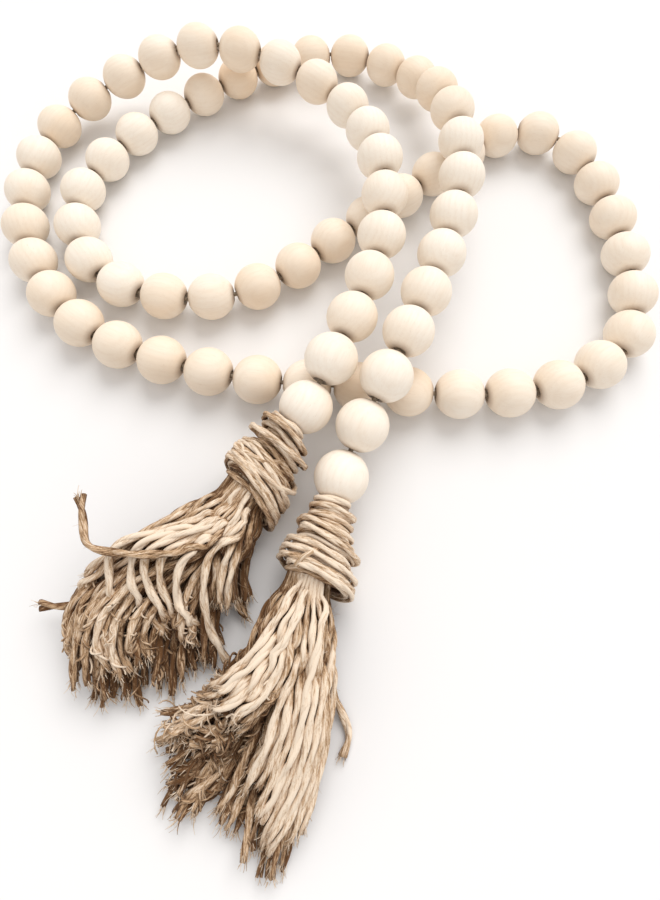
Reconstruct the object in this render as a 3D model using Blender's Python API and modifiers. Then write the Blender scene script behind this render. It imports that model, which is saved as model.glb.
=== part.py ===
# Wood bead garland with a jute tassel at each end, lying on a table in two loose loops.
# Units are metres, +Z is up, and the origin is on the table under the middle of the garland.
import math

import bmesh
import bpy
import numpy as np
from mathutils import Matrix, Vector

MM = 0.001

# Beads: round, with a flat around each mouth of the hole
BEAD_COUNT = 76
BEAD_RADIUS = 8.0 * MM
BEAD_PITCH = 16.2 * MM
BEAD_HALF_LENGTH = 7.65 * MM
BEAD_FLAT_RADIUS = 2.6 * MM
BEAD_BORE_RADIUS = 1.9 * MM
BEAD_SHOULDER_ANGLE = math.radians(45.5)
BEAD_BAND_HALF_WIDTH = 2.0 * MM
BEAD_SIDES = 10

# String through all the beads, tied into the head of each tassel
STRING_RADIUS = 0.8 * MM
CLEARANCE = 0.3 * MM
MERGE_DISTANCE = 0.01 * MM

# Tassel heads, and the twine bound round them
HEAD_LENGTH = 26.0 * MM
HEAD_GAP = 0.9 * MM
HEAD_SHARES = (0, 0.15, 0.35, 0.65, 1)
HEAD_TOP_SHARE = 0.42
HEAD_SWELL_SHARE = 0.75
NECK_RADIUS = 8.3 * MM
HEAD_SIDES = 14
BINDING_TURNS = 9
BINDING_SETBACK = 1.2 * MM
TWINE_DIAMETER = 2.2 * MM
TWINE_GROOVE = 0.7 * MM

# Tassel strands: packed in a hexagon at the neck, and fanned out on the table at their tips
STRAND_ROWS = 7
STRAND_SPACING = 2.3 * MM
STRAND_RADIUS = 1.05 * MM
STRAND_ROOT_DEPTH = 2.5 * MM
STRAND_STEPS = 4
STRAND_PULL = 0.9
ROW_RISE = math.sqrt(3) / 2
TIP_ROW_HEIGHT = 2.85 * MM
TIP_REACH_SCATTER = 3.0 * MM
TIP_TURN_SCATTER = 1.0

# Route of the string, in millimetres: from the neck of the left tassel to the back, round the
# left loop, under itself along the front, round the right loop, under itself again, round the
# inner left loop and down to the neck of the right tassel. Where z is a bead's radius, the
# beads lie on the table.
ROUTE = [
    (-22, -57, 11),
    (-3, -30, 20.5),
    (4.5, -16, 24.5),
    (11, -1, 23.5),
    (21, 29.5, 23.5),
    (21.5, 61.5, 24.5),
    (10.5, 92, 19.5),
    (-15, 111, 22.5),
    (-46.5, 117, 25),
    (-77.5, 111.5, 15.5),
    (-102, 93, 8.5),
    (-108.5, 61, 8),
    (-100, 30, 8),
    (-79.5, 5, 8),
    (-50.5, -8.5, 8),
    (-18.5, -15.5, 8),
    (13.5, -18, 8),
    (45.5, -20.5, 8),
    (78, -17, 8),
    (103.5, 1, 8),
    (108.5, 32.5, 8),
    (104, 64.5, 8),
    (96.5, 82, 8),
    (79, 91.5, 8),
    (60, 83, 8),
    (31.5, 60, 8),
    (6.5, 40, 8),
    (-19, 20.5, 8),
    (-50, 15.5, 8),
    (-78.5, 28, 8),
    (-88.5, 58, 8),
    (-73.5, 87, 8),
    (-50, 108.5, 8),
    (-23, 126, 8),
    (8, 133.5, 8.2),
    (35.5, 119, 11),
    (48, 90.5, 22),
    (50, 59, 24),
    (42, 27.5, 22.5),
    (30, -2, 24),
    (23, -17, 25),
    (8.5, -46.5, 15.5),
    (-1, -81, 11),
]
ROUTE_STEPS = 60

# Fan of strands of each tassel: the heading of its middle and its half spread in degrees, and
# the reach from the neck to the tips in millimetres, from the clockwise edge of the fan on
FANS = {
    "left": {"heading": 236, "spread": 31, "reach": (51, 58, 57, 46, 33), "seed": 3},
    "right": {"heading": 250, "spread": 26, "reach": (56, 60, 60, 58, 42), "seed": 8},
}

# Strands that leave their bundle: the row and the place of the root in the hexagon, and the
# points that the strand passes, in millimetres
STRAYS = {
    "left": {
        (6, 0): [(-36, -69, 21), (-47, -74, 22.5), (-60, -73.5, 23), (-66, -64, 24)],
        (3, 0): [(-44, -66, 9.5), (-58, -73, 9.8), (-68, -78, 9.7), (-79, -79, 9)],
    },
    "right": {
        (2, 5): [(7, -92, 5), (8, -99, 2), (10, -106, 1), (8.5, -110, 1)],
    },
}

WOOD_COLOUR = (0.80, 0.66, 0.50)
TWINE_COLOUR = (0.50, 0.36, 0.21)
STRING_COLOUR = (0.72, 0.62, 0.48)


def clear_scene():
    for item in list(bpy.data.objects):
        bpy.data.objects.remove(item, do_unlink=True)


def make_collection(name):
    collection = bpy.data.collections.new(name)
    bpy.context.scene.collection.children.link(collection)
    return collection


def make_material(name, colour, roughness):
    material = bpy.data.materials.new(name)
    material.use_nodes = True
    shader = material.node_tree.nodes["Principled BSDF"]
    shader.inputs["Base Color"].default_value = (*colour, 1)
    shader.inputs["Roughness"].default_value = roughness
    shader.inputs["Metallic"].default_value = 0
    return material


def add_object(name, data, collection, material):
    item = bpy.data.objects.new(name, data)
    collection.objects.link(item)
    data.materials.clear()
    data.materials.append(material)
    return item


def evaluated_mesh(item):
    depsgraph = bpy.context.evaluated_depsgraph_get()
    return bpy.data.meshes.new_from_object(item.evaluated_get(depsgraph))


def smooth_curve(points, steps):
    """Smooth cubic curve through the points, kept from dipping below the lowest of them."""
    points = np.array(points, float)
    ends = np.vstack([2 * points[0] - points[1], points, 2 * points[-1] - points[-2]])
    before, start, end, after = ends[:-3], ends[1:-2], ends[2:-1], ends[3:]
    t = (np.arange(steps) / steps)[:, None, None]
    curve = 0.5 * (
        2 * start
        + (end - before) * t
        + (2 * before - 5 * start + 4 * end - after) * t**2
        + (3 * start - before - 3 * end + after) * t**3
    )
    curve = np.vstack([curve.transpose(1, 0, 2).reshape(-1, 3), points[-1:]])
    curve[:, 2] = np.maximum(curve[:, 2], points[:, 2].min())
    return curve


def step_along(curve, start, index, distance):
    """The next place on the curve, from the given index on, at the distance from the start."""
    while np.linalg.norm(curve[index] - start) < distance:
        index += 1
    near = curve[index - 1]
    step = curve[index] - near
    offset = near - start
    a = step @ step
    b = 2 * offset @ step
    c = offset @ offset - distance**2
    share = (-b + math.sqrt(b * b - 4 * a * c)) / (2 * a)
    return near + share * step, index


def lay_beads(curve):
    """Centres of the beads, at equal pitch along the curve, the directions of their holes, and
    the directions of the first and the last step, which the heads of the tassels follow."""
    centre, index = step_along(curve, curve[0], 1, HEAD_LENGTH + HEAD_GAP + BEAD_HALF_LENGTH)
    centres = [centre]
    while len(centres) < BEAD_COUNT:
        centre, index = step_along(curve, centre, index, BEAD_PITCH)
        centres.append(centre)
    stops = np.vstack([curve[0], centres, curve[-1]])
    steps = np.diff(stops, axis=0)
    steps /= np.linalg.norm(steps, axis=1)[:, None]
    axes = steps[1:] + steps[:-1]
    axes /= np.linalg.norm(axes, axis=1)[:, None]
    return np.array(centres), axes, (steps[0], steps[-1])


def frame_along(axis, place):
    """Matrix whose Z is the axis, and whose Y points up as far as it can."""
    z = Vector(axis).normalized()
    x = Vector((0, 0, 1)).cross(z).normalized()
    matrix = Matrix((x, z.cross(x), z)).transposed().to_4x4()
    matrix.translation = Vector(place)
    return matrix


def turned_mesh(name, profile, sides, closed):
    """Mesh turned about Z from (radius, height) points that run down its outer side."""
    # The first corner is half a side away from -Y, so that a side lies flat below
    turn = math.pi / sides - math.pi / 2
    points = [(r * math.cos(turn), r * math.sin(turn), z) for r, z in profile]
    edges = [(i, i + 1) for i in range(len(points) - 1)]
    if closed:
        edges.append((len(points) - 1, 0))
    outline = bpy.data.meshes.new(name + "_outline")
    outline.from_pydata(points, edges, [])
    maker = bpy.data.objects.new(name + "_maker", outline)
    bpy.context.scene.collection.objects.link(maker)
    screw = maker.modifiers.new("turn", "SCREW")
    screw.steps = sides
    screw.render_steps = sides
    screw.use_merge_vertices = True
    screw.merge_threshold = MERGE_DISTANCE
    screw.use_smooth_shade = False
    mesh = evaluated_mesh(maker)
    mesh.name = name
    bpy.data.objects.remove(maker, do_unlink=True)
    bpy.data.meshes.remove(outline)
    return mesh


def straight_bead_pair():
    """Two beads turned in one piece along Z, joined at the flats round their holes."""
    corner = BEAD_RADIUS / math.cos(math.pi / BEAD_SIDES)
    shoulder_radius = BEAD_RADIUS * math.sin(BEAD_SHOULDER_ANGLE)
    shoulder_height = BEAD_RADIUS * math.cos(BEAD_SHOULDER_ANGLE)
    middle = BEAD_PITCH / 2
    end = middle + BEAD_HALF_LENGTH
    lower_bead = [
        (shoulder_radius, shoulder_height - middle),
        (corner, BEAD_BAND_HALF_WIDTH - middle),
        (corner, -BEAD_BAND_HALF_WIDTH - middle),
        (shoulder_radius, -shoulder_height - middle),
        (BEAD_FLAT_RADIUS, -end),
    ]
    upper_bead = [(radius, -height) for radius, height in reversed(lower_bead)]
    waist = [(BEAD_FLAT_RADIUS, 0)]
    bore = [(BEAD_BORE_RADIUS, -end), (BEAD_BORE_RADIUS, 0), (BEAD_BORE_RADIUS, end)]
    return turned_mesh("bead_pair", upper_bead + waist + lower_bead + bore, BEAD_SIDES, True)


def make_beads(centres, axes, collection, material):
    """Pairs of beads, each a straight pair with each half set on its own bead's axis."""
    pair = straight_bead_pair()
    points = np.empty(len(pair.vertices) * 3)
    pair.vertices.foreach_get("co", points)
    points = points.reshape(-1, 3)
    # 0 on the first bead, 1 on the second, and halfway at the waist that they share
    share = (np.sign(np.round(points[:, 2:], 6)) + 1) / 2
    for first in range(0, BEAD_COUNT, 2):
        placed = []
        for bead, shift in ((first, BEAD_PITCH / 2), (first + 1, -BEAD_PITCH / 2)):
            frame = np.array(frame_along(axes[bead], centres[bead]))
            placed.append((points + (0, 0, shift)) @ frame[:3, :3].T + frame[:3, 3])
        mesh = pair.copy()
        mesh.vertices.foreach_set("co", (placed[0] * (1 - share) + placed[1] * share).ravel())
        mesh.update()
        add_object(f"beads_{first + 1:02d}_{first + 2:02d}", mesh, collection, material)
    bpy.data.meshes.remove(pair)


def make_tubes(name, routes, radius, resolution, collection, material):
    """Round or square tubes with closed ends, one for each route."""
    data = bpy.data.curves.new(name, "CURVE")
    data.dimensions = "3D"
    data.twist_mode = "Z_UP"
    data.bevel_depth = radius
    data.bevel_resolution = resolution
    data.use_fill_caps = True
    for route in routes:
        spline = data.splines.new("POLY")
        spline.points.add(len(route) - 1)
        for point, place in zip(spline.points, route):
            point.co = (*place, 1)
    return add_object(name, data, collection, material)


def make_string(centres, axes, end_steps, collection, material):
    """The string bends only between the beads, midway between the mouths of their holes."""
    mouths_before = centres - axes * BEAD_HALF_LENGTH
    mouths_after = centres + axes * BEAD_HALF_LENGTH
    reach = BEAD_HALF_LENGTH + HEAD_GAP - CLEARANCE
    start = centres[0] - end_steps[0] * reach
    end = centres[-1] + end_steps[1] * reach
    joints = (mouths_after[:-1] + mouths_before[1:]) / 2
    route = np.vstack([start, joints, end])
    return make_tubes("string", [route], STRING_RADIUS, 0, collection, material)


def head_radius(depth):
    """Radius of a tassel's head at a depth under its top: it swells towards the neck."""
    swell = math.sin(math.pi / 2 * min(1, depth / (HEAD_SWELL_SHARE * HEAD_LENGTH)))
    return NECK_RADIUS * (HEAD_TOP_SHARE + (1 - HEAD_TOP_SHARE) * swell)


def make_binding(side, frame, collection, material):
    """Twine wound round the head: a turned barrel with a ridge for each turn."""
    top = CLEARANCE
    bottom = HEAD_LENGTH - BINDING_SETBACK
    outer = []
    for ring in range(2 * BINDING_TURNS + 1):
        depth = top + (bottom - top) * ring / (2 * BINDING_TURNS)
        groove = TWINE_GROOVE * (1 - ring % 2)
        outer.append((head_radius(depth) + CLEARANCE + TWINE_DIAMETER - groove, -depth))
    inner = []
    for share in reversed(HEAD_SHARES):
        depth = min(max(HEAD_LENGTH * share, top), bottom)
        inner.append((head_radius(depth) + CLEARANCE, -depth))
    mesh = turned_mesh("binding", outer + inner, HEAD_SIDES, True)
    mesh.transform(frame)
    return add_object(f"binding_{side}", mesh, collection, material)


def make_head(side, frame, collection, material):
    """Solid head under the binding, which the strands grow out of."""
    side_points = [(head_radius(HEAD_LENGTH * share), -HEAD_LENGTH * share) for share in HEAD_SHARES]
    profile = [(0, 0)] + side_points + [(0, -HEAD_LENGTH)]
    mesh = turned_mesh("head", profile, HEAD_SIDES, False)
    mesh.transform(frame)
    return add_object(f"tassel_{side}", mesh, collection, material)


def fan_strand(root, along, tip, outward, pull):
    """Curve that leaves the root along the head, and reaches the tip level and outward."""
    route = []
    for step in range(STRAND_STEPS + 1):
        t = step / STRAND_STEPS
        place = root * (2 * t**3 - 3 * t**2 + 1) + along * pull * (t**3 - 2 * t**2 + t)
        place += tip * (3 * t**2 - 2 * t**3) + outward * pull * (t**3 - t**2)
        route.append(place)
    return route


def strand_routes(side, frame):
    """Route of each strand of a tassel, from inside its head to its tip."""
    fan = FANS[side]
    scatter = np.random.default_rng(fan["seed"])
    along = -frame.col[2].to_3d()
    across = Vector((0, 0, 1)).cross(along).normalized()
    upward = along.cross(across)
    neck = frame @ Vector((0, 0, -HEAD_LENGTH))
    middle = (STRAND_ROWS - 1) // 2
    reach_marks = np.linspace(-middle, middle, len(fan["reach"]))
    routes = []
    for row in range(STRAND_ROWS):
        count = STRAND_ROWS - abs(row - middle)
        for place in range(count):
            sideways = place - (count - 1) / 2
            lift = (row - middle) * ROW_RISE
            root = neck + STRAND_SPACING * (across * sideways + upward * lift)
            turn = fan["heading"] + fan["spread"] * sideways / middle
            turn += scatter.uniform(-1, 1) * TIP_TURN_SCATTER
            reach = np.interp(sideways, reach_marks, fan["reach"]) * MM
            reach += scatter.uniform(-1, 1) * TIP_REACH_SCATTER
            outward = Vector((math.cos(math.radians(turn)), math.sin(math.radians(turn)), 0))
            tip = neck + outward * reach
            tip.z = STRAND_RADIUS + row * TIP_ROW_HEIGHT
            stray = STRAYS[side].get((row, place))
            if stray:
                passed = [root] + [Vector(point) * MM for point in stray]
                route = [Vector(point) for point in smooth_curve(passed, 2)]
            else:
                route = fan_strand(root, along, tip, outward, STRAND_PULL * reach)
            for point in route:
                point.z = max(point.z, STRAND_RADIUS)
            routes.append([root - along * STRAND_ROOT_DEPTH] + route)
    return routes


def make_tassel(side, frame, collection, joined, material):
    """Head and strands in one solid."""
    head = make_head(side, frame, collection, material)
    tubes = make_tubes("tubes", strand_routes(side, frame), STRAND_RADIUS, 0, joined, material)
    mesh = evaluated_mesh(tubes)
    bpy.data.objects.remove(tubes, do_unlink=True)
    shape = bmesh.new()
    shape.from_mesh(mesh)
    bmesh.ops.remove_doubles(shape, verts=shape.verts, dist=MERGE_DISTANCE)
    bmesh.ops.recalc_face_normals(shape, faces=shape.faces)
    shape.to_mesh(mesh)
    shape.free()
    strands = add_object(f"strands_{side}", mesh, joined, material)
    strands.hide_render = True
    strands.display_type = "WIRE"
    join = head.modifiers.new("strands", "BOOLEAN")
    join.operation = "UNION"
    join.solver = "EXACT"
    join.use_self = True
    join.object = strands
    return head


def main():
    clear_scene()
    garland = make_collection("wood_bead_garland")
    joined = make_collection("joined_strands")
    wood = make_material("pale_wood", WOOD_COLOUR, 0.6)
    twine = make_material("jute_twine", TWINE_COLOUR, 0.9)
    cotton = make_material("cotton_string", STRING_COLOUR, 0.9)
    curve = smooth_curve(np.array(ROUTE) * MM, ROUTE_STEPS)
    centres, axes, end_steps = lay_beads(curve)
    make_beads(centres, axes, garland, wood)
    make_string(centres, axes, end_steps, garland, cotton)
    head_start = BEAD_HALF_LENGTH + HEAD_GAP
    for side, bead, inward in (("left", 0, end_steps[0]), ("right", -1, -end_steps[1])):
        frame = frame_along(inward, centres[bead] - inward * head_start)
        make_binding(side, frame, garland, twine)
        make_tassel(side, frame, garland, joined, twine)


if __name__ == "__main__":
    main()
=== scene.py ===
import math

import bpy
import numpy as np
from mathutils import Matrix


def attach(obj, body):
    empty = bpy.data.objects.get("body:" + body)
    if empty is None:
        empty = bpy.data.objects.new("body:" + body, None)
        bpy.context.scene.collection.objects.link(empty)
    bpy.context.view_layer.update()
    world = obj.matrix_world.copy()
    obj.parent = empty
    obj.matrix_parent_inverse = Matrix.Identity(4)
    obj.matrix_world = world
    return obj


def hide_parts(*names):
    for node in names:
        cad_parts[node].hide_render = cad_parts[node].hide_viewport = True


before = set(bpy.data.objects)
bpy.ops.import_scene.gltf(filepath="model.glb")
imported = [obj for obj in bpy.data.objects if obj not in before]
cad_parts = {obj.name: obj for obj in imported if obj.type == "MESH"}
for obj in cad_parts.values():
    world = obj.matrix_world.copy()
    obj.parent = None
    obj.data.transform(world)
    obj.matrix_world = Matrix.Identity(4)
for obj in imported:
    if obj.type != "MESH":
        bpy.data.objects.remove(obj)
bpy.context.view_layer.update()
print("frame:", len(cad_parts), "solids")

mm = 0.001
up = np.array([0.0, 0.0, 1.0])


# Camera: above the tassels, looking to the back over the loops
cameraSetup = {
    "place": (4.6, -95.5, 187.0),
    "lookDown": 66.5,  # degrees below level
    "focalPixels": 609.0,
    "axisPixel": (331.5, 386.0),  # where the lens points, in the picture
    "picture": (660, 900),
    "sensor": 36.0,
    "nearest": 0.01,
}


def addCamera(setup):
    wide, high = setup["picture"]
    lens = bpy.data.cameras.new("camera")
    lens.sensor_width = setup["sensor"]
    lens.lens = setup["focalPixels"] * setup["sensor"] / high
    lens.shift_x = (wide / 2 - setup["axisPixel"][0]) / high
    lens.shift_y = (setup["axisPixel"][1] - high / 2) / high
    lens.clip_start = setup["nearest"]
    camera = bpy.data.objects.new("camera", lens)
    camera.location = [value * mm for value in setup["place"]]
    camera.rotation_euler = (math.radians(90 - setup["lookDown"]), 0, 0)
    bpy.context.collection.objects.link(camera)
    bpy.context.scene.camera = camera


addCamera(cameraSetup)


# Lay of the garland, in millimetres: the string's route from the neck of the left tassel to the
# neck of the right one, and the beads at an even pitch along it
garlandLay = {
    "beadCount": 76,
    "beadRadius": 8.0,
    "beadPitch": 16.2,
    "beadHalfLength": 7.65,
    "headLength": 26.0,
    "headGap": 0.9,
    "routeSteps": 60,
    "route": [
        (-22, -57, 11), (-3, -30, 20.5), (4.5, -16, 24.5), (11, -1, 23.5), (21, 29.5, 23.5),
        (21.5, 61.5, 24.5), (10.5, 92, 19.5), (-15, 111, 22.5), (-46.5, 117, 25),
        (-77.5, 111.5, 15.5), (-102, 93, 8.5), (-108.5, 61, 8), (-100, 30, 8), (-79.5, 5, 8),
        (-50.5, -8.5, 8), (-18.5, -15.5, 8), (13.5, -18, 8), (45.5, -20.5, 8), (78, -17, 8),
        (103.5, 1, 8), (108.5, 32.5, 8), (104, 64.5, 8), (96.5, 82, 8), (79, 91.5, 8),
        (60, 83, 8), (31.5, 60, 8), (6.5, 40, 8), (-19, 20.5, 8), (-50, 15.5, 8),
        (-78.5, 28, 8), (-88.5, 58, 8), (-73.5, 87, 8), (-50, 108.5, 8), (-23, 126, 8),
        (8, 133.5, 8.2), (35.5, 119, 11), (48, 90.5, 22), (50, 59, 24), (42, 27.5, 22.5),
        (30, -2, 24), (23, -17, 25), (8.5, -46.5, 15.5), (-1, -81, 11),
    ],
}


# Vectors divided by their lengths
def unit(vectors):
    return vectors / np.linalg.norm(vectors, axis=-1, keepdims=True)


# Two directions square to each given one: a level one, and the one that both lie square to
def levelPair(directions):
    across = unit(np.cross(directions, up))
    return across, np.cross(across, directions)


# Share of the way that values have gone from a start on, over a length: between 0 and 1
def rise(values, start, over):
    return np.clip((values - start) / over, 0, 1)


# Smooth curves, one for each row of points: a cubic between each two points, its slope there
# half the step from the point before to the point after
def smoothCurves(points, steps):
    first, last = points[:, :1], points[:, -1:]
    ends = np.concatenate([2 * first - points[:, 1:2], points, 2 * last - points[:, -2:-1]], axis=1)
    before, start, end, after = (ends[:, k : k + points.shape[1] - 1, None] for k in range(4))
    t = (np.arange(steps) / steps)[:, None]
    curves = 0.5 * (
        2 * start
        + (end - before) * t
        + (2 * before - 5 * start + 4 * end - after) * t**2
        + (3 * start - before - 3 * end + after) * t**3
    )
    return np.concatenate([curves.reshape(len(points), -1, 3), last], axis=1)


# Next place on the curve at a straight distance from the start: a line crossed with a sphere
def stepAlong(curve, start, index, distance):
    while np.linalg.norm(curve[index] - start) < distance:
        index += 1
    near = curve[index - 1]
    step = curve[index] - near
    offset = near - start
    a = step @ step
    b = 2 * offset @ step
    c = offset @ offset - distance**2
    share = (-b + math.sqrt(b * b - 4 * a * c)) / (2 * a)
    return near + share * step, index


# Bead centres along the route, the direction of each hole, and the first and last step
def layBeads(lay):
    route = np.array(lay["route"]) * mm
    curve = smoothCurves(route[None], lay["routeSteps"])[0]
    curve[:, 2] = np.maximum(curve[:, 2], route[:, 2].min())
    toFirst = (lay["headLength"] + lay["headGap"] + lay["beadHalfLength"]) * mm
    centre, index = stepAlong(curve, curve[0], 1, toFirst)
    centres = [centre]
    while len(centres) < lay["beadCount"]:
        centre, index = stepAlong(curve, centre, index, lay["beadPitch"] * mm)
        centres.append(centre)
    steps = unit(np.diff(np.vstack([curve[0], centres, curve[-1]]), axis=0))
    return np.array(centres), unit(steps[1:] + steps[:-1]), (steps[0], steps[-1])


beadCentres, beadAxes, endSteps = layBeads(garlandLay)
print("lay:", len(beadCentres), "beads")


# Node trees: an input is a value or another node's output
def feed(tree, socket, value):
    if isinstance(value, bpy.types.NodeSocket):
        tree.links.new(value, socket)
    else:
        socket.default_value = value


def addNode(tree, kind, inputs, **settings):
    node = tree.nodes.new(kind)
    for name, value in settings.items():
        setattr(node, name, value)
    for name, value in inputs.items():
        feed(tree, node.inputs[name], value)
    return node


def readAttribute(tree, name, output):
    return addNode(tree, "ShaderNodeAttribute", {}, attribute_name=name).outputs[output]


def addMath(tree, operation, first, second, clamp=False):
    inputs = {0: first, 1: second}
    return addNode(tree, "ShaderNodeMath", inputs, operation=operation, use_clamp=clamp).outputs[0]


def addMix(tree, share, first, second):
    inputs = {0: share, 6: first, 7: second}  # the sockets of a mix of colours
    return addNode(tree, "ShaderNodeMix", inputs, data_type="RGBA").outputs[2]


def addStretch(tree, place, stretch):
    inputs = {0: place, 1: stretch}
    return addNode(tree, "ShaderNodeVectorMath", inputs, operation="MULTIPLY").outputs[0]


# Noise drawn out along one direction of the place: the place is scaled before the noise reads it
def addStreaks(tree, place, stretch, scale, detail=3.0, roughness=0.55):
    drawn = addStretch(tree, place, stretch)
    inputs = {"Vector": drawn, "Scale": scale, "Detail": detail, "Roughness": roughness}
    return addNode(tree, "ShaderNodeTexNoise", inputs).outputs["Fac"]


def addRange(tree, value, low, high, least=0.0, most=1.0):
    inputs = {"Value": value, "From Min": low, "From Max": high, "To Min": least, "To Max": most}
    return addNode(tree, "ShaderNodeMapRange", inputs).outputs["Result"]


# How much of a mark shows: nothing up to the low value, its whole share from the high one on
def addMark(tree, value, low, high, share):
    return addMath(tree, "MULTIPLY", addRange(tree, value, low, high), share)


def addRelief(tree, shader, height, strength, distance):
    inputs = {"Height": height, "Strength": strength, "Distance": distance}
    feed(tree, shader.inputs["Normal"], addNode(tree, "ShaderNodeBump", inputs).outputs[0])


def newMaterial(name, fixed):
    material = bpy.data.materials.new(name)
    material.use_nodes = True
    tree = material.node_tree
    shader = tree.nodes["Principled BSDF"]
    for socket, value in fixed.items():
        shader.inputs[socket].default_value = value
    return material, tree, shader


noiseSpan = (0.3, 0.7)  # what a noise mostly keeps between


# Unfinished pale wood: grain runs along each bead's hole, rings bend round a pith outside it.
# Each noise has its stretch, scale, detail and roughness
woodLook = {
    "pale": (0.955, 0.875, 0.765, 1),
    "warm": (0.880, 0.715, 0.540, 1),
    "ring": (0.680, 0.490, 0.325, 1),
    "pore": (0.420, 0.290, 0.185, 1),
    # painted shade: the colour the wood darkens to at each mouth of the hole, for the shade in the
    # grooves between the beads
    "mouthShade": (0.270, 0.165, 0.090, 1),
    "blotches": ((1, 1, 0.5), 0.09, 2.0),
    "streaks": ((1, 1, 0.05), 1.5, 4.0, 0.65),
    "pores": ((1, 1, 0.16), 3.2, 2.0),
    "ringStretch": (1, 1, 0.12),
    "rings": {"Scale": 0.17, "Distortion": 3.0, "Detail": 2.0, "Detail Scale": 0.6},
    "blotchTone": (-0.22, 0.22),
    "ringMark": (0.35, 1.0, 0.06),
    "streakMark": (0.48, 0.75, 0.15),
    "poreMark": (0.66, 0.78, 0.25),
    "roughness": (0.46, 0.66),
    "streakHeight": 0.6,  # times the streaks, beside the pores
    "relief": (0.5, 0.00006),  # strength, and height in metres
    "fixed": {"Specular IOR Level": 0.35},
}


def makeWood(look):
    material, tree, shader = newMaterial("paleWood", look["fixed"])
    place = readAttribute(tree, "grainPlace", "Vector")
    streaks = addStreaks(tree, place, *look["streaks"])
    pores = addStreaks(tree, place, *look["pores"])
    rings = addNode(
        tree,
        "ShaderNodeTexWave",
        {"Vector": addStretch(tree, place, look["ringStretch"]), **look["rings"]},
        wave_type="RINGS",
        rings_direction="Z",
        wave_profile="SIN",
    ).outputs["Fac"]
    blotches = addStreaks(tree, place, *look["blotches"])
    blotchTone = addRange(tree, blotches, *noiseSpan, *look["blotchTone"])
    tone = addMath(tree, "ADD", readAttribute(tree, "beadTone", "Fac"), blotchTone, True)
    colour = addMix(tree, tone, look["pale"], look["warm"])
    poreMark = addMark(tree, pores, *look["poreMark"])
    # Rings, streaks and pores are the wood's own; the darkening at the mouths is painted shade
    for mark, tint in (
        (addMark(tree, rings, *look["ringMark"]), "ring"),
        (addMark(tree, streaks, *look["streakMark"]), "ring"),
        (poreMark, "pore"),
        (readAttribute(tree, "mouthShadeShare", "Fac"), "mouthShade"),
    ):
        colour = addMix(tree, mark, colour, look[tint])
    feed(tree, shader.inputs["Base Color"], colour)
    feed(tree, shader.inputs["Roughness"], addRange(tree, streaks, *noiseSpan, *look["roughness"]))
    height = addMath(tree, "MULTIPLY", streaks, look["streakHeight"])
    addRelief(tree, shader, addMath(tree, "SUBTRACT", height, poreMark), *look["relief"])
    return material


# Jute: pale fibres with brown ones between them, running along the twine
juteLook = {
    "pale": (0.870, 0.735, 0.585, 1),
    "middle": (0.530, 0.355, 0.210, 1),
    "brown": (0.140, 0.066, 0.026, 1),
    "paleAt": 0.82,  # the tone of each colour; brown is at 0
    "middleAt": 0.36,
    "streaks": ((1, 1, 0.10), 2.4, 4.0, 0.65),
    "patches": ((0.4, 0.4, 0.08), 1.0, 2.0),
    "streakTone": (-0.50, 0.42),
    "patchTone": (-0.16, 0.16),
    "roughness": (0.72, 0.95),
    "relief": (0.8, 0.00018),
    "fixed": {"Specular IOR Level": 0.1, "Sheen Weight": 0.08, "Sheen Roughness": 0.6},
}


def makeJute(look):
    material, tree, shader = newMaterial("juteTwine", look["fixed"])
    place = readAttribute(tree, "fibrePlace", "Vector")
    # The strand tone read here is the jute's own tone less the painted shade worked out for the
    # strands
    tone = readAttribute(tree, "strandToneAndShade", "Fac")
    streaks = addStreaks(tree, place, *look["streaks"])
    patches = addStreaks(tree, place, *look["patches"])
    tone = addMath(tree, "ADD", tone, addRange(tree, streaks, *noiseSpan, *look["streakTone"]))
    tone = addMath(tree, "ADD", tone, addRange(tree, patches, *noiseSpan, *look["patchTone"]), True)
    ramp = addNode(tree, "ShaderNodeValToRGB", {"Fac": tone})
    stops = ramp.color_ramp.elements
    stops[0].position, stops[0].color = 0.0, look["brown"]
    stops[1].position, stops[1].color = look["paleAt"], look["pale"]
    stops.new(look["middleAt"]).color = look["middle"]
    feed(tree, shader.inputs["Base Color"], ramp.outputs["Color"])
    feed(tree, shader.inputs["Roughness"], addRange(tree, streaks, *noiseSpan, *look["roughness"]))
    addRelief(tree, shader, streaks, *look["relief"])
    return material


# Cotton string, painted darker than its own off-white for the shade in the gaps between the beads
stringLook = {
    "pale": (0.46, 0.37, 0.27, 1),
    "dark": (0.26, 0.19, 0.13, 1),
    "streaks": ((1, 1, 0.2), 3.0),
    "darkSpan": (0.35, 0.65),
    "relief": (0.6, 0.0001),
    "fixed": {"Roughness": 0.9},
}


def makeCotton(look):
    material, tree, shader = newMaterial("cottonString", look["fixed"])
    streaks = addStreaks(tree, readAttribute(tree, "fibrePlace", "Vector"), *look["streaks"])
    dark = addRange(tree, streaks, *look["darkSpan"])
    feed(tree, shader.inputs["Base Color"], addMix(tree, dark, look["pale"], look["dark"]))
    addRelief(tree, shader, streaks, *look["relief"])
    return material


wood = makeWood(woodLook)
jute = makeJute(juteLook)
cotton = makeCotton(stringLook)
print("materials: wood, jute, cotton")


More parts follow.
